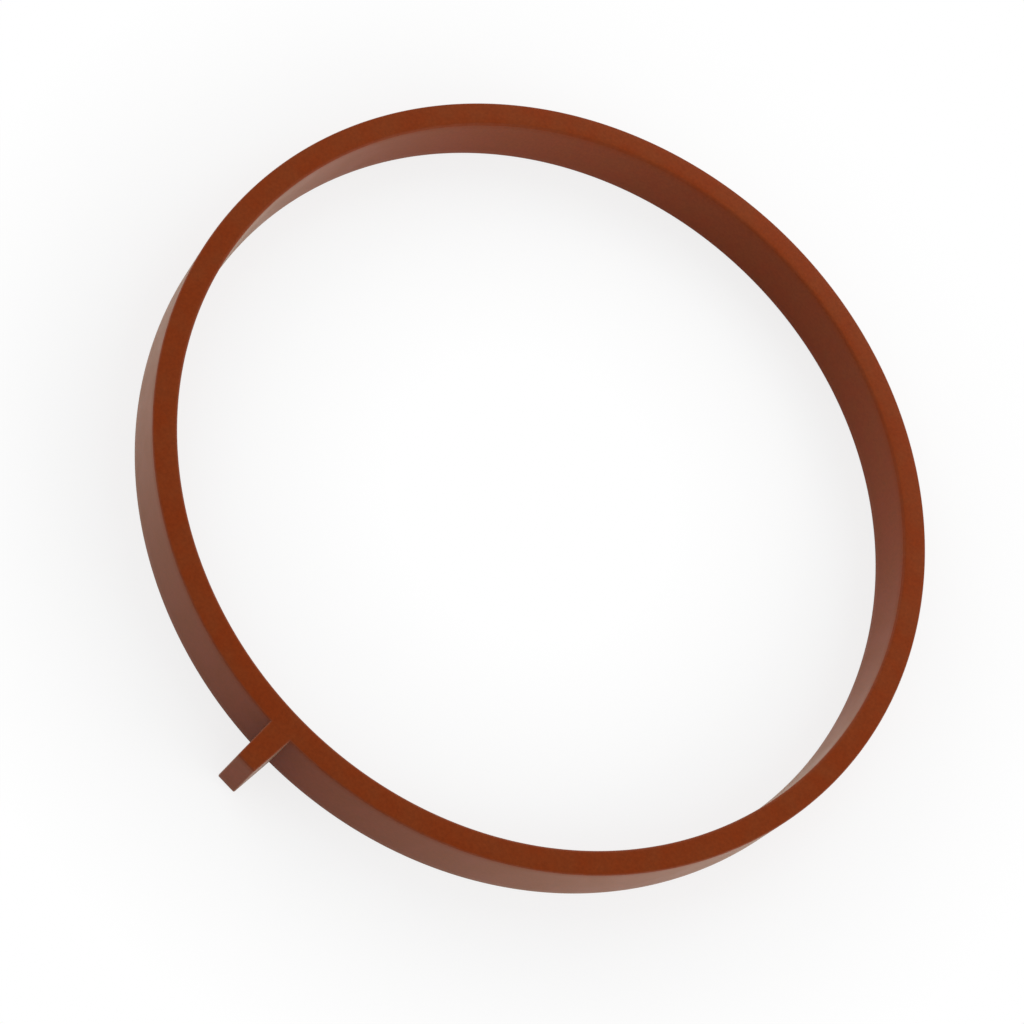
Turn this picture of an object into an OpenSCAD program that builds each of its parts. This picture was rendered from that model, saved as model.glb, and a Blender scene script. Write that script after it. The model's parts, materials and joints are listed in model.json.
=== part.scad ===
// Throttle body gasket: a moulded rubber ring that stands on edge in a groove and seals
// the flange round an air passage. A tapered tab on its outside locates it in the groove.
// The ring lies flat, with its axis on Z and its lower sealing face at Z = 0.

/* [Ring] */
// Outside diameter of the ring
ring_outer_d = 80; // [50:0.5:120]
// Thickness of the ring's wall, across the groove
ring_wall = 2.4; // [1.5:0.1:4]
// Height of the ring along its axis, from one sealing face to the other
ring_height = 6.5; // [3:0.1:12]

/* [Locating tab] */
// How far the tab stands out from the ring
tab_length = 4.6; // [2:0.1:12]
// Width of the tab at its root, on the outside of the ring
tab_root_w = 2.5; // [1.6:0.1:6]
// Width of the tab at its tip
tab_tip_w = 2.1; // [1.6:0.1:6]
// Direction of the tab, as an angle round the axis from +X
tab_angle = -90; // [-180:5:180]

/* [Edges] */
// Radius that the mould leaves on the ring's outside edges and on the edges of the tab
edge_r = 0.15; // [0.05:0.01:0.4]
// Radius on the two edges of the bore
bore_edge_r = 0.3; // [0.05:0.01:0.5]

/* [Hidden] */
rubber_colour = "#7a3418";
ring_fn = 180;
edge_fn = 24;
ring_outer_r = ring_outer_d / 2;
ring_inner_r = ring_outer_r - ring_wall;
// The tab grows out of the middle of the wall, so that it is one piece with the ring
tab_start = ring_outer_r - ring_wall / 2;
tab_end = ring_outer_r + tab_length;
// How the side faces of the tab close in towards its tip
side_slope = (tab_root_w - tab_tip_w) / 2 / tab_length;
side_angle = atan(side_slope);
tab_start_w = tab_tip_w + 2 * side_slope * (tab_end - tab_start);
// Centres of the round corners at the tip, which touch the tip face and the side faces
corner_x = tab_end - edge_r;
corner_y = tab_tip_w / 2 + side_slope * edge_r - edge_r / cos(side_angle);
// Where a round corner runs into the side face
touch_x = corner_x + edge_r * sin(side_angle);
touch_y = corner_y + edge_r * cos(side_angle);
// Reach of the bars that round the tab's edges, past it on every side
bar_reach = 2 * (tab_end - tab_start) + tab_start_w;

// Rectangle with its lower left corner at the origin; its two left corners are rounded by one
// radius and its two right corners by another
module rounded_rectangle(width, height, left_r, right_r) {
    translate([left_r, 0]) square([width - left_r - right_r, height]);
    translate([0, left_r]) square([width - right_r, height - 2 * left_r]);
    translate([left_r, right_r]) square([width - left_r, height - 2 * right_r]);
    for (y = [left_r, height - left_r])
        translate([left_r, y]) circle(r = left_r, $fn = edge_fn);
    for (y = [right_r, height - right_r])
        translate([width - right_r, y]) circle(r = right_r, $fn = edge_fn);
}

// Ring of rounded rectangular section, with the bore on the section's left
module ring() {
    rotate_extrude($fn = ring_fn)
        translate([ring_inner_r, 0])
            rounded_rectangle(ring_wall, ring_height, bore_edge_r, edge_r);
}

// Outline of the tab seen from above, along +X, with the corners of its tip round
module tab_outline() {
    polygon([
        [tab_start, -tab_start_w / 2],
        [touch_x, -touch_y],
        [tab_end, -corner_y],
        [tab_end, corner_y],
        [touch_x, touch_y],
        [tab_start, tab_start_w / 2],
    ]);
    for (side = [-1, 1])
        translate([corner_x, side * corner_y]) circle(r = edge_r, $fn = edge_fn);
}

// Bar as high as the ring, along X, with round long edges and its left side on Y = 0
module rounded_bar(length, width) {
    translate([0, -width, 0])
        rotate([90, 0, 90])
            linear_extrude(height = length)
                rounded_rectangle(width, ring_height, edge_r, edge_r);
}

// Bar whose round edges lie on the left side face of the tab
module side_bar() {
    translate([tab_end, tab_tip_w / 2, 0])
        rotate([0, 0, -side_angle])
            translate([-bar_reach, 0, 0])
                rounded_bar(2 * bar_reach, bar_reach);
}

// Bar whose round edges lie on the tip face of the tab
module tip_bar() {
    translate([tab_end, bar_reach / 2, 0])
        rotate([0, 0, -90])
            rounded_bar(bar_reach, tab_end - tab_start);
}

// Tab along +X, flush with both sealing faces: what its outline and the bars share
module tab() {
    intersection() {
        linear_extrude(height = ring_height) tab_outline();
        tip_bar();
        side_bar();
        mirror([0, 1, 0]) side_bar();
    }
}

// The gasket is moulded in one piece
module gasket() {
    color(rubber_colour)
        union() {
            ring();
            rotate([0, 0, tab_angle]) tab();
        }
}

gasket();
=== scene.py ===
import json
import math

import bmesh
import bpy
from mathutils import Matrix, Vector


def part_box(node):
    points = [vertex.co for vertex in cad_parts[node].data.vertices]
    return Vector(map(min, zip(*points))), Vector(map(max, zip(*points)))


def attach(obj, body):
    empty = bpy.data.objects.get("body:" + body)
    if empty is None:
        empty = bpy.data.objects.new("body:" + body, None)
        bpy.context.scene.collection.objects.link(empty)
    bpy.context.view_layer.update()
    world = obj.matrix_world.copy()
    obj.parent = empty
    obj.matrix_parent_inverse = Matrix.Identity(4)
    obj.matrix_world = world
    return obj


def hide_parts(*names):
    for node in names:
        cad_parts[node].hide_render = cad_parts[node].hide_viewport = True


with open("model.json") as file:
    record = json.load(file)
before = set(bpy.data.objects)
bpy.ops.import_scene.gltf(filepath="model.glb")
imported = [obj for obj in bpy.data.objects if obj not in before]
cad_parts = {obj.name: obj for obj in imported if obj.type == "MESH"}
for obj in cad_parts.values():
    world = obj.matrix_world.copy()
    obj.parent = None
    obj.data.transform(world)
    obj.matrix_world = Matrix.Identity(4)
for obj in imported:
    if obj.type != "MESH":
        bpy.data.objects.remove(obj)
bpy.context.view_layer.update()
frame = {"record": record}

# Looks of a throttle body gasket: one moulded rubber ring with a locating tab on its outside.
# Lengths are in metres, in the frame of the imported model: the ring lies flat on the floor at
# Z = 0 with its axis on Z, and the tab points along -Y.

MM = 0.001


# Sizes of the gasket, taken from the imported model

low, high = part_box("gasket")
bore = next(m for m in frame["record"]["mounts"] if m["name"] == "bore")
OUTER_R = high.x
INNER_R = bore["dims"]["r_mm"] * MM
HEIGHT = high.z
TAB_END = -low.y
BORE_EDGE_R = (HEIGHT - bore["dims"]["length_mm"] * MM) / 2

# Radius of the ring's outside edges and of the tab's edges
EDGE_R = 0.15 * MM

# Widths of the tab, across its root and across its tip, and how its sides close in
TAB_ROOT_W = 2.5 * MM
TAB_TIP_W = 2.1 * MM
TAB_SLOPE = (TAB_ROOT_W - TAB_TIP_W) / 2 / (TAB_END - OUTER_R)
TAB_ANGLE = math.atan(TAB_SLOPE)

# How finely the mesh is divided
RING_STEPS = 760
TAB_COLUMNS = 8
TAB_ROWS = 14
CORNER_STEPS = 6
EDGE_STEPS = 6
WALL_STEPS = 8
FACE_STEPS = 3

# Vertices this close are joined into one, and edges that turn by more than this are sharp
SAME_POINT = 1e-8
CREASE = math.radians(35)

# Name of the mesh attribute that tells how much pale paint a round edge gets, a painted highlight
# with some wear, and is 0 on the faces
EDGE_HIGHLIGHT_AND_WEAR = "edge_highlight_and_wear"
# The bore's edges are rounder and better kept than the outside ones, and get less of that painted
# highlight and wear
BORE_HIGHLIGHT_AND_WEAR = 0.45


# Mesh of the gasket

def highlight_and_wear_across(steps):
    """Share of pale paint, a painted highlight with some wear, for each row across a round edge:
    none at its ends, and most in its middle.
    """
    return [math.sin(math.pi * i / steps) for i in range(steps + 1)]


def section_rows(edge_r):
    """Rows of one side of the section, from the lower face up: (inset, height, share of painted
    highlight and wear).
    """
    rows = []
    for i, highlight_and_wear in enumerate(highlight_and_wear_across(EDGE_STEPS)):
        turn = math.pi / 2 * i / EDGE_STEPS
        rows.append((edge_r * (1 - math.sin(turn)), edge_r * (1 - math.cos(turn)), highlight_and_wear))
    flat = HEIGHT - 2 * edge_r
    rows += [(0.0, edge_r + flat * i / WALL_STEPS, 0.0) for i in range(1, WALL_STEPS)]
    for i, highlight_and_wear in enumerate(highlight_and_wear_across(EDGE_STEPS)):
        turn = math.pi / 2 * i / EDGE_STEPS
        height = HEIGHT - edge_r * (1 - math.sin(turn))
        rows.append((edge_r * (1 - math.cos(turn)), height, highlight_and_wear))
    return rows


def polar(radius, angle):
    """Point at an angle round the axis, counted from the tab and seen from above."""
    return radius * math.sin(angle), -radius * math.cos(angle)


def root_corner(inset):
    """Where the tab's side meets the ring, both moved inwards by inset: (across, along)."""
    radius = OUTER_R - inset
    foot = TAB_TIP_W / 2 - inset / math.cos(TAB_ANGLE) + TAB_SLOPE * TAB_END
    square = 1 + TAB_SLOPE ** 2
    root = (foot * TAB_SLOPE) ** 2 - square * (foot ** 2 - radius ** 2)
    along = (foot * TAB_SLOPE + math.sqrt(root)) / square
    return foot - TAB_SLOPE * along, along


def ring_arc(inset):
    """Points of the ring's outside, from the tab's right root corner round to the left one."""
    across, along = root_corner(inset)
    gap = math.atan2(across, along)
    step = (2 * math.pi - 2 * gap) / RING_STEPS
    return [polar(OUTER_R - inset, gap + step * i) for i in range(RING_STEPS + 1)]


def root_arc(inset):
    """Points between the tab's root corners, from left to right, without the corners."""
    across, along = root_corner(inset)
    gap = math.atan2(across, along)
    turns = [gap * (2 * i / TAB_COLUMNS - 1) for i in range(1, TAB_COLUMNS)]
    return [polar(OUTER_R - inset, turn) for turn in turns]


def tab_half(inset):
    """Outline of the right half of the tab as (across, along), from its root to its tip."""
    root = root_corner(inset)
    centre = (
        TAB_TIP_W / 2 + TAB_SLOPE * EDGE_R - EDGE_R / math.cos(TAB_ANGLE),
        TAB_END - EDGE_R,
    )
    corner = []
    for i in range(CORNER_STEPS + 1):
        turn = TAB_ANGLE + (math.pi / 2 - TAB_ANGLE) * i / CORNER_STEPS
        reach = EDGE_R - inset
        corner.append((centre[0] + reach * math.cos(turn), centre[1] + reach * math.sin(turn)))
    side = []
    for i in range(1, TAB_ROWS):
        share = i / TAB_ROWS
        side.append(tuple(a + (b - a) * share for a, b in zip(root, corner[0])))
    return side, corner


def outline(inset):
    """Closed outline of the gasket's outside, moved inwards by inset, counter-clockwise."""
    side, corner = tab_half(inset)
    half_tip, along = corner[-1]
    left = [(-across, -reach) for across, reach in side + corner]
    tip = [(half_tip * (2 * i / TAB_COLUMNS - 1), -along) for i in range(1, TAB_COLUMNS)]
    right = [(across, -reach) for across, reach in reversed(side + corner)]
    return ring_arc(inset) + left + tip + right


def outline_highlight_and_wear():
    """Painted highlight and wear along that outline: none, except round the upright corners of the
    tab's tip.
    """
    half = [0.0] * (TAB_ROWS - 1) + highlight_and_wear_across(CORNER_STEPS)
    return [0.0] * (RING_STEPS + 1) + half + [0.0] * (TAB_COLUMNS - 1) + half[::-1]


def inner_circle(inset):
    """Points of the bore, moved into the wall by inset, beside those of the outside."""
    across, along = root_corner(0.0)
    gap = math.atan2(across, along)
    step = (2 * math.pi - 2 * gap) / RING_STEPS
    turns = [gap + step * i for i in range(RING_STEPS + 1)]
    turns += [gap * (2 * i / TAB_COLUMNS - 1) for i in range(1, TAB_COLUMNS)]
    return [polar(INNER_R + inset, turn) for turn in turns]


def add_loop(mesh, points, z, highlight_and_wear=0.0):
    """Vertices at the points, all at one height and with one share of painted highlight and wear.
    """
    layer = mesh.verts.layers.float[EDGE_HIGHLIGHT_AND_WEAR]
    loop = [mesh.verts.new((x, y, z)) for x, y in points]
    for vertex in loop:
        vertex[layer] = highlight_and_wear
    return loop


def bridge(mesh, first, second):
    """Quads between two closed loops of as many vertices."""
    for i in range(len(first)):
        mesh.faces.new((first[i - 1], first[i], second[i], second[i - 1]))


def tab_face(mesh, loop, root_row):
    """Flat face of the tab, between the root arc and the tip, where each corner is a point."""
    start = RING_STEPS + 1
    left = loop[start:start + TAB_ROWS]
    right = loop[-1:-TAB_ROWS - 1:-1]
    first_tip = start + TAB_ROWS + CORNER_STEPS
    rows = [root_row]
    for a, b in zip(left[:-1], right[:-1]):
        row = [a]
        for i in range(1, TAB_COLUMNS):
            row.append(mesh.verts.new(a.co.lerp(b.co, i / TAB_COLUMNS)))
        rows.append(row + [b])
    tip = loop[first_tip:first_tip + TAB_COLUMNS - 1]
    rows.append([left[-1]] + tip + [right[-1]])
    for near, far in zip(rows[:-1], rows[1:]):
        for i in range(TAB_COLUMNS):
            mesh.faces.new((near[i], near[i + 1], far[i + 1], far[i]))


def sealing_face(mesh, outer, inner, z):
    """Flat face between the bore and the outside, with the face of the tab flush in it."""
    arc = outer[:RING_STEPS + 1]
    root = add_loop(mesh, root_arc(EDGE_R), z)
    last = inner
    rim = arc + root
    for i in range(1, FACE_STEPS):
        middle = [mesh.verts.new(a.co.lerp(b.co, i / FACE_STEPS)) for a, b in zip(inner, rim)]
        bridge(mesh, last, middle)
        last = middle
    bridge(mesh, last, rim)
    tab_face(mesh, outer, [arc[-1]] + root + [arc[0]])


def highlight_and_wear_corners(mesh, loop):
    """Adds the painted highlight and wear of the tab's upright corners to an outer loop."""
    layer = mesh.verts.layers.float[EDGE_HIGHLIGHT_AND_WEAR]
    for vertex, highlight_and_wear in zip(loop, outline_highlight_and_wear()):
        vertex[layer] = max(vertex[layer], highlight_and_wear)


def gasket_mesh():
    """Mesh of the whole gasket: both walls with their round edges, and both sealing faces."""
    mesh = bmesh.new()
    mesh.verts.layers.float.new(EDGE_HIGHLIGHT_AND_WEAR)
    outer = [add_loop(mesh, outline(inset), z, highlight_and_wear) for inset, z, highlight_and_wear in section_rows(EDGE_R)]
    inner = [
        add_loop(mesh, inner_circle(inset), z, highlight_and_wear * BORE_HIGHLIGHT_AND_WEAR)
        for inset, z, highlight_and_wear in section_rows(BORE_EDGE_R)
    ]
    for loop in outer:
        highlight_and_wear_corners(mesh, loop)
    for loops in (outer, inner):
        for lower, upper in zip(loops[:-1], loops[1:]):
            bridge(mesh, lower, upper)
    sealing_face(mesh, outer[0], inner[0], 0.0)
    sealing_face(mesh, outer[-1], inner[-1], HEIGHT)
    bmesh.ops.remove_doubles(mesh, verts=mesh.verts, dist=SAME_POINT)
    bmesh.ops.recalc_face_normals(mesh, faces=mesh.faces)
    data = bpy.data.meshes.new("gasket_ring")
    mesh.to_mesh(data)
    mesh.free()
    return data


def add_gasket(material):
    """The rubber ring and its tab, with round edges that catch the light."""
    data = gasket_mesh()
    data.materials.append(material)
    data.shade_smooth()
    data.set_sharp_from_angle(angle=CREASE)
    ring = bpy.data.objects.new("gasket_ring", data)
    bpy.context.scene.collection.objects.link(ring)
    flats = ring.modifiers.new("flat_faces", "WEIGHTED_NORMAL")
    flats.keep_sharp = True
    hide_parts("gasket")
    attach(ring, "root")
    return ring


# Materials

RUST_RED = (0.215, 0.0308, 0.0034, 1)
RUST_BROWN = (0.208, 0.0364, 0.0062, 1)

# Wide patches, redder and shinier in some places, browner and duller in others
MOTTLE_SIZE_MM = 2.4
MOTTLE_DETAIL = 3
MOTTLE_BAND = (0.35, 0.65)
ROUGHNESS_BAND = (0.3, 0.7)
ROUGHNESS_RANGE = (0.36, 0.44)

# Fine specks, a little darker or paler than the rest, and just raised
GRAIN_SIZE_MM = 0.30
GRAIN_DETAIL = 3
GRAIN_FINENESS = 0.6
GRAIN_BAND = (0.3, 0.7)
GRAIN_SHADES = (0.90, 1.10)
GRAIN_DEPTH = 0.002 * MM

# Pale colour painted on the round edges, a painted highlight with some wear, and how much of it
# shows from patch to patch
PALE_EDGE_HIGHLIGHT_AND_WEAR = (0.230, 0.060, 0.028, 1)
HIGHLIGHT_AND_WEAR_SIZE_MM = 1.3
HIGHLIGHT_AND_WEAR_DETAIL = 4
HIGHLIGHT_AND_WEAR_FINENESS = 0.6
HIGHLIGHT_AND_WEAR_BAND = (0.35, 0.65)
HIGHLIGHT_AND_WEAR_SHARES = (0.35, 0.9)

# Dull haze that shows most at low angles, over a surface with hardly any shine
HAZE = (0.84, 0.93, 0.70, 1)
HAZE_WEIGHT = 0.36
HAZE_SPREAD = 0.36
SHINE = 0.05


class Nodes:
    """Short way to add and join the nodes of one node tree."""

    def __init__(self, owner):
        owner.use_nodes = True
        self.tree = owner.node_tree
        self.tree.nodes.clear()

    def add(self, kind, inputs=None, **settings):
        """A node with its settings; an input is a value, or a socket to join to it."""
        node = self.tree.nodes.new(kind)
        for name, value in settings.items():
            setattr(node, name, value)
        for name, value in (inputs or {}).items():
            if isinstance(value, bpy.types.NodeSocket):
                self.tree.links.new(value, node.inputs[name])
            else:
                node.inputs[name].default_value = value
        return node


def noise(nodes, place, size_mm, detail, roughness=0.5):
    """Noise whose features are about size_mm across; place is a socket in millimetres."""
    inputs = {"Vector": place, "Scale": 1 / size_mm, "Detail": detail, "Roughness": roughness}
    return nodes.add("ShaderNodeTexNoise", inputs).outputs["Fac"]


def spread(nodes, value, from_range, to_range):
    """The value carried from one range to another, and kept inside it."""
    inputs = {
        "Value": value,
        "From Min": from_range[0],
        "From Max": from_range[1],
        "To Min": to_range[0],
        "To Max": to_range[1],
    }
    return nodes.add("ShaderNodeMapRange", inputs).outputs["Result"]


def mix_colours(nodes, share, first, second):
    """Colour that goes from the first to the second as share goes from 0 to 1."""
    mix = nodes.add("ShaderNodeMix", data_type="RGBA")
    for place, value in zip((0, 6, 7), (share, first, second)):
        if isinstance(value, bpy.types.NodeSocket):
            nodes.tree.links.new(value, mix.inputs[place])
        else:
            mix.inputs[place].default_value = value
    return mix.outputs[2]


def pale_edges_highlight_and_wear(nodes, place):
    """How much pale paint the round edges get, a painted highlight with some wear, broken up along
    their length.
    """
    edge = nodes.add("ShaderNodeAttribute", attribute_name=EDGE_HIGHLIGHT_AND_WEAR).outputs["Fac"]
    patches = noise(nodes, place, HIGHLIGHT_AND_WEAR_SIZE_MM, HIGHLIGHT_AND_WEAR_DETAIL, HIGHLIGHT_AND_WEAR_FINENESS)
    share = spread(nodes, patches, HIGHLIGHT_AND_WEAR_BAND, HIGHLIGHT_AND_WEAR_SHARES)
    return nodes.add("ShaderNodeMath", {0: edge, 1: share}, operation="MULTIPLY").outputs[0]


def rubber_material():
    """Matt moulded rubber: rust brown with a faint mottle, a fine grain, a dull haze, and a painted
    highlight with some wear on its round edges.
    """
    material = bpy.data.materials.new("moulded_rubber")
    nodes = Nodes(material)
    where = nodes.add("ShaderNodeTexCoord").outputs["Object"]
    place = nodes.add(
        "ShaderNodeVectorMath", {0: where, 1: (1 / MM, 1 / MM, 1 / MM)}, operation="MULTIPLY"
    ).outputs[0]
    clouds = noise(nodes, place, MOTTLE_SIZE_MM, MOTTLE_DETAIL)
    grain = noise(nodes, place, GRAIN_SIZE_MM, GRAIN_DETAIL, GRAIN_FINENESS)
    hue = mix_colours(nodes, spread(nodes, clouds, MOTTLE_BAND, (0, 1)), RUST_RED, RUST_BROWN)
    shade = nodes.add(
        "ShaderNodeHueSaturation",
        {"Value": spread(nodes, grain, GRAIN_BAND, GRAIN_SHADES), "Color": hue},
    )
    # Pale paint on the round edges: a painted highlight, with some wear
    colour = mix_colours(nodes, pale_edges_highlight_and_wear(nodes, place), shade.outputs["Color"], PALE_EDGE_HIGHLIGHT_AND_WEAR)
    bump = nodes.add(
        "ShaderNodeBump",
        {"Strength": 1.0, "Distance": GRAIN_DEPTH, "Height": grain},
    )
    surface = nodes.add(
        "ShaderNodeBsdfPrincipled",
        {
            "Base Color": colour,
            "Roughness": spread(nodes, clouds, ROUGHNESS_BAND, ROUGHNESS_RANGE),
            "Specular IOR Level": SHINE,
            "Sheen Weight": HAZE_WEIGHT,
            "Sheen Roughness": HAZE_SPREAD,
            "Sheen Tint": HAZE,
            "Normal": bump.outputs["Normal"],
        },
    )
    nodes.add("ShaderNodeOutputMaterial", {"Surface": surface.outputs["BSDF"]})
    return material


def seen_directly(nodes):
    """1 for rays from the camera and for mirrored or clear ones, 0 for the light's own."""
    path = nodes.add("ShaderNodeLightPath")
    both = nodes.add(
        "ShaderNodeMath",
        {0: path.outputs["Is Camera Ray"], 1: path.outputs["Is Glossy Ray"]},
        operation="MAXIMUM",
    )
    return nodes.add(
        "ShaderNodeMath",
        {0: both.outputs[0], 1: path.outputs["Is Transmission Ray"]},
        operation="MAXIMUM",
    ).outputs[0]


# Floor, surroundings and light

WHITE = (1, 1, 1, 1)
SKY_STRENGTH = 0.52

# The floor lies just under the ring, so that the two don't share a plane
FLOOR_SIZE = 6.0
FLOOR_COLOUR = (0.9, 0.9, 0.9, 1)
FLOOR_DROP = 0.02 * MM

# Share of plain white in what is seen of the floor, near the ring and far from it
WHITE_NEAR = 0.78
WHITE_FAR = 1.0

# Distances from the middle of the ring's wall at which those two shares are reached
NEAR_REACH = 3 * MM
FAR_REACH = 24 * MM

# Name, place, side and power of each lamp
LAMPS = (
    ("left_lamp", (-0.30, 0.05, 0.10), 0.20, 0.41),
    ("right_lamp", (0.30, 0.05, 0.10), 0.20, 0.52),
    ("back_lamp", (0.0, 0.15, 0.06), 0.12, 0.09),
)


def floor_material():
    """Pale floor that keeps the shadow beside the ring and fades to plain white on both sides."""
    material = bpy.data.materials.new("pale_floor")
    nodes = Nodes(material)
    where = nodes.add("ShaderNodeTexCoord").outputs["Object"]
    radius = nodes.add("ShaderNodeVectorMath", {0: where}, operation="LENGTH").outputs["Value"]
    ring_r = (OUTER_R + INNER_R) / 2
    reach = nodes.add("ShaderNodeMath", {0: radius, 1: ring_r}, operation="SUBTRACT").outputs[0]
    away = nodes.add("ShaderNodeMath", {0: reach}, operation="ABSOLUTE").outputs[0]
    share = spread(nodes, away, (NEAR_REACH, FAR_REACH), (WHITE_NEAR, WHITE_FAR))
    seen = nodes.add("ShaderNodeMath", {0: share, 1: seen_directly(nodes)}, operation="MULTIPLY")
    matt = nodes.add("ShaderNodeBsdfDiffuse", {"Color": FLOOR_COLOUR}).outputs[0]
    white = nodes.add("ShaderNodeEmission", {"Color": WHITE, "Strength": 1.0}).outputs[0]
    both = nodes.add("ShaderNodeMixShader", {0: seen.outputs[0], 1: matt, 2: white})
    nodes.add("ShaderNodeOutputMaterial", {"Surface": both.outputs[0]})
    return material


def add_floor():
    """Wide floor, which belongs to the setting and not to the gasket."""
    mesh = bmesh.new()
    bmesh.ops.create_grid(mesh, x_segments=1, y_segments=1, size=FLOOR_SIZE / 2)
    data = bpy.data.meshes.new("floor")
    mesh.to_mesh(data)
    mesh.free()
    data.materials.append(floor_material())
    floor = bpy.data.objects.new("floor", data)
    floor.location.z = -FLOOR_DROP
    bpy.context.scene.collection.objects.link(floor)


def set_world():
    """White surroundings to look at, and an even, plain light from all round."""
    world = bpy.data.worlds.new("studio")
    bpy.context.scene.world = world
    nodes = Nodes(world)
    light = nodes.add("ShaderNodeBackground", {"Color": WHITE, "Strength": SKY_STRENGTH})
    white = nodes.add("ShaderNodeBackground", {"Color": WHITE, "Strength": 1.0})
    both = nodes.add(
        "ShaderNodeMixShader",
        {0: seen_directly(nodes), 1: light.outputs[0], 2: white.outputs[0]},
    )
    nodes.add("ShaderNodeOutputWorld", {"Surface": both.outputs[0]})


def add_lamp(name, place, side, power):
    """Soft square lamp that faces the middle of the gasket."""
    data = bpy.data.lights.new(name, "AREA")
    data.shape = "SQUARE"
    data.size = side
    data.energy = power
    lamp = bpy.data.objects.new(name, data)
    lamp.location = place
    lamp.rotation_mode = "QUATERNION"
    lamp.rotation_quaternion = (-Vector(place)).to_track_quat("-Z", "Y")
    lamp.visible_camera = False
    bpy.context.scene.collection.objects.link(lamp)


# Camera

# Width of the sensor in the camera's own millimetres, and of the picture in pixels
SENSOR = 36.0
IMAGE_SIZE = 1024

# Lens and place of the camera, fitted to the outlines of the ring in the photograph
FOCAL_PIXELS = 3252
CAMERA_AIM = Vector((-0.105, -6.571, 6.5)) * MM
CAMERA_DISTANCE = 310 * MM
CAMERA_AZIMUTH = math.radians(-1.70)
CAMERA_ELEVATION = math.radians(59.19)
CAMERA_ROLL = math.radians(-44.84)
NEAREST_SEEN = 0.01
FARTHEST_SEEN = 20.0


def add_camera():
    """Camera at the photograph's viewing angle, turned about its own line of sight."""
    forward = Vector((
        math.sin(CAMERA_AZIMUTH) * math.cos(CAMERA_ELEVATION),
        math.cos(CAMERA_AZIMUTH) * math.cos(CAMERA_ELEVATION),
        -math.sin(CAMERA_ELEVATION),
    ))
    level_right = forward.cross(Vector((0, 0, 1))).normalized()
    level_up = level_right.cross(forward)
    up = level_up * math.cos(CAMERA_ROLL) + level_right * math.sin(CAMERA_ROLL)
    right = forward.cross(up)
    data = bpy.data.cameras.new("camera")
    data.sensor_width = SENSOR
    data.lens = FOCAL_PIXELS * SENSOR / IMAGE_SIZE
    data.clip_start = NEAREST_SEEN
    data.clip_end = FARTHEST_SEEN
    camera = bpy.data.objects.new("camera", data)
    turn = Matrix((right, up, -forward)).transposed()
    camera.matrix_world = Matrix.Translation(CAMERA_AIM - forward * CAMERA_DISTANCE) @ turn.to_4x4()
    bpy.context.scene.collection.objects.link(camera)
    bpy.context.scene.camera = camera


add_camera()
add_gasket(rubber_material())
add_floor()
set_world()
for lamp in LAMPS:
    add_lamp(*lamp)
bpy.context.scene.view_settings.view_transform = "Standard"
